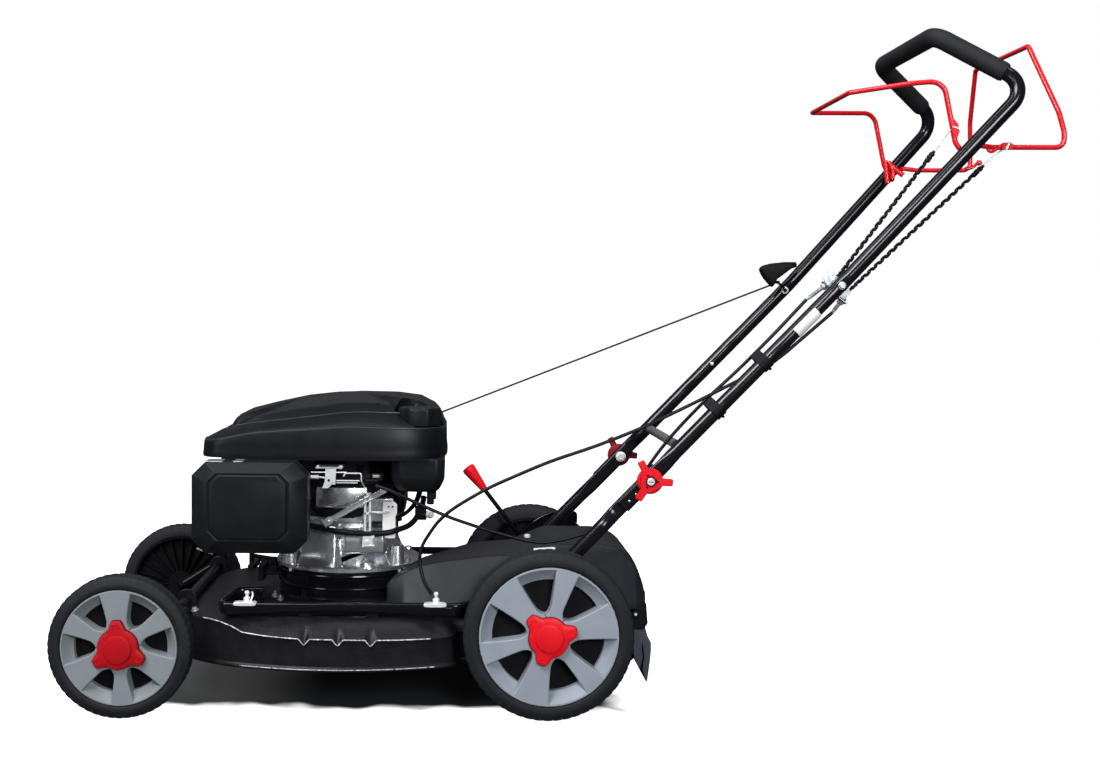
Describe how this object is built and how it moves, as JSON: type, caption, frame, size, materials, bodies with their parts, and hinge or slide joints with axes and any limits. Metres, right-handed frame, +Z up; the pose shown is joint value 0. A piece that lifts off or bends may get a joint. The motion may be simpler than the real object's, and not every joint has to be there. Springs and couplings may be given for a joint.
{
  "type": "petrol lawn mower",
  "caption": "Walk-behind petrol rotary mower with stamped deck, spoked wheels, height lever, folding tube handle, two bails and recoil starter.",
  "frame": {"origin": "middle of the footprint, on the ground plane under the wheels", "axes": "+X towards the operator at the rear, +Y to the machine's right side, +Z up; the pictured side is -Y"},
  "size_m": [1.678, 0.5716, 1.1558],
  "materials": {
    "gloss_black_paint": "gloss",
    "black_plastic": "matt",
    "grip_foam": "matt",
    "red_paint": "gloss",
    "red_plastic": "gloss",
    "grey_plastic": "satin",
    "tyre": "matt",
    "cast_metal": "cast",
    "bare_steel": "satin",
    "zinc_plate": "bright"
  },
  "bodies": {
    "chassis": {"deck": "gloss_black_paint", "side_rail": "gloss_black_paint", "belt_cover": "black_plastic", "gearbox": "cast_metal", "drive_belt": "grip_foam", "lower_handle_left": "gloss_black_paint", "lower_handle_right": "gloss_black_paint", "mount_ring": "gloss_black_paint", "crankcase": "cast_metal", "cylinder_head": "cast_metal", "engine_shroud": "black_plastic", "fuel_tank": "black_plastic", "air_filter_cover": "black_plastic", "air_filter_base": "black_plastic", "carburettor": "cast_metal", "muffler": "bare_steel", "control_bracket": "zinc_plate", "brake_plate": "zinc_plate", "brake_cable": "black_plastic", "drive_cable": "black_plastic"},
    "front_axle": {"front_axle": "gloss_black_paint"},
    "rear_axle": {"rear_axle": "gloss_black_paint", "height_lever": "gloss_black_paint", "height_lever_grip": "red_plastic"},
    "height_link": {"height_link": "zinc_plate"},
    "wheel_front_left": {"tyre_front_left": "tyre", "rim_front_left": "grey_plastic", "hub_cap_front_left": "red_plastic"},
    "wheel_front_right": {"tyre_front_right": "tyre", "rim_front_right": "grey_plastic", "hub_cap_front_right": "red_plastic"},
    "wheel_rear_left": {"tyre_rear_left": "tyre", "rim_rear_left": "grey_plastic", "hub_cap_rear_left": "red_plastic"},
    "wheel_rear_right": {"tyre_rear_right": "tyre", "rim_rear_right": "grey_plastic", "hub_cap_rear_right": "red_plastic"},
    "upper_handle": {"upper_handle": "gloss_black_paint", "handle_grip": "grip_foam", "cable_bracket": "zinc_plate", "rope_guide": "zinc_plate", "brake_cable_sleeve": "grip_foam", "drive_cable_sleeve": "grip_foam", "starter_rope": "black_plastic"},
    "brake_bail": {"brake_bail": "red_paint"},
    "drive_bail": {"drive_bail": "red_paint"},
    "starter_grip": {"starter_grip": "black_plastic"},
    "fold_knob_left": {"fold_knob_left": "red_plastic"},
    "fold_knob_right": {"fold_knob_right": "red_plastic"},
    "fuel_cap": {"fuel_cap": "black_plastic"},
    "dipstick": {"dipstick": "black_plastic"},
    "crankshaft": {"crankshaft": "bare_steel", "flywheel": "cast_metal", "blade_adapter": "bare_steel", "blade": "bare_steel", "blade_bolt": "zinc_plate"},
    "gearbox_pulley": {"gearbox_pulley": "bare_steel"},
    "governor_lever": {"governor_lever": "zinc_plate"},
    "rear_flap": {"rear_flap": "black_plastic"},
    "side_flap": {"side_flap": "black_plastic"}
  },
  "joints": [
    {"name": "rear_height", "type": "hinge", "parent": "chassis", "child": "rear_axle", "pos_m": [0.062, 0, 0.195], "axis": [0, 1, 0], "range_deg": [-4, 24]},
    {"name": "front_height", "type": "hinge", "parent": "chassis", "child": "front_axle", "pos_m": [-0.635, 0, 0.172], "axis": [0, 1, 0], "range_deg": [-4, 24]},
    {"name": "link_pin", "type": "hinge", "parent": "rear_axle", "child": "height_link", "pos_m": [0.062, 0, 0.229], "axis": [0, 1, 0], "range_deg": [-24, 4]},
    {"name": "front_left_wheel", "type": "hinge", "parent": "front_axle", "child": "wheel_front_left", "pos_m": [-0.722, 0, 0.117], "axis": [0, 1, 0], "continuous": true},
    {"name": "front_right_wheel", "type": "hinge", "parent": "front_axle", "child": "wheel_front_right", "pos_m": [-0.722, 0, 0.117], "axis": [0, 1, 0], "continuous": true},
    {"name": "rear_left_wheel", "type": "hinge", "parent": "rear_axle", "child": "wheel_rear_left", "pos_m": [-0.025, 0, 0.14], "axis": [0, 1, 0], "continuous": true},
    {"name": "rear_right_wheel", "type": "hinge", "parent": "rear_axle", "child": "wheel_rear_right", "pos_m": [-0.025, 0, 0.14], "axis": [0, 1, 0], "continuous": true},
    {"name": "handle_fold", "type": "hinge", "parent": "chassis", "child": "upper_handle", "pos_m": [0.1455, 0, 0.3882], "axis": [0, -1, 0], "range_deg": [0, 110], "deforming": ["brake_cable", "drive_cable", "starter_rope"]},
    {"name": "brake_bail_pull", "type": "hinge", "parent": "upper_handle", "child": "brake_bail", "pos_m": [0.668, 0, 0.9334], "axis": [0, 1, 0], "range_deg": [0, 36], "stiffness_Nm_per_rad": 1.5, "springref_deg": -17.19, "deforming": ["brake_cable_sleeve"]},
    {"name": "drive_bail_pull", "type": "hinge", "parent": "upper_handle", "child": "drive_bail", "pos_m": [0.688, 0, 0.9543], "axis": [0, -1, 0], "range_deg": [0, 42], "stiffness_Nm_per_rad": 1.5, "springref_deg": -17.19, "deforming": ["drive_cable_sleeve"]},
    {"name": "starter_pull", "type": "slide", "parent": "upper_handle", "child": "starter_grip", "axis": [-0.15, 0, 0.9887], "range_m": [0, 0.6], "stiffness_N_per_m": 20, "springref_m": -0.5, "deforming": ["starter_rope"]},
    {"name": "left_knob_turn", "type": "hinge", "parent": "chassis", "child": "fold_knob_left", "pos_m": [0.1455, -0.2, 0.3882], "axis": [0, -1, 0], "continuous": true},
    {"name": "right_knob_turn", "type": "hinge", "parent": "chassis", "child": "fold_knob_right", "pos_m": [0.1455, 0.2, 0.3882], "axis": [0, 1, 0], "continuous": true},
    {"name": "fuel_cap_turn", "type": "hinge", "parent": "chassis", "child": "fuel_cap", "pos_m": [-0.2415, -0.11, 0.4744], "axis": [0, 0, 1], "continuous": true},
    {"name": "dipstick_turn", "type": "hinge", "parent": "chassis", "child": "dipstick", "pos_m": [-0.293, 0.088, 0.2303], "axis": [0, 0, 1], "continuous": true},
    {"name": "crankshaft_turn", "type": "hinge", "parent": "chassis", "child": "crankshaft", "pos_m": [-0.37, 0, 0.106], "axis": [0, 0, 1], "continuous": true},
    {"name": "pulley_turn", "type": "hinge", "parent": "chassis", "child": "gearbox_pulley", "pos_m": [-0.035, 0, 0.198], "axis": [0, 0, 1], "continuous": true},
    {"name": "governor_turn", "type": "hinge", "parent": "chassis", "child": "governor_lever", "pos_m": [-0.3285, -0.131, 0.274], "axis": [0, 1, 0], "range_deg": [-8, 8], "stiffness_Nm_per_rad": 0.05},
    {"name": "rear_flap_swing", "type": "hinge", "parent": "chassis", "child": "rear_flap", "pos_m": [0.137, 0, 0.15], "axis": [0, -1, 0], "range_deg": [0, 42]},
    {"name": "side_flap_swing", "type": "hinge", "parent": "chassis", "child": "side_flap", "pos_m": [-0.47, 0.264, 0.162], "axis": [1, 0, 0], "range_deg": [0, 70], "stiffness_Nm_per_rad": 0.06, "springref_deg": -28.65}
  ],
  "couplings": [
    {"joint": "front_height", "follows": "rear_height", "ratio": 1},
    {"joint": "link_pin", "follows": "rear_height", "ratio": -1},
    {"joint": "pulley_turn", "follows": "crankshaft_turn", "ratio": 0.66518}
  ]
}
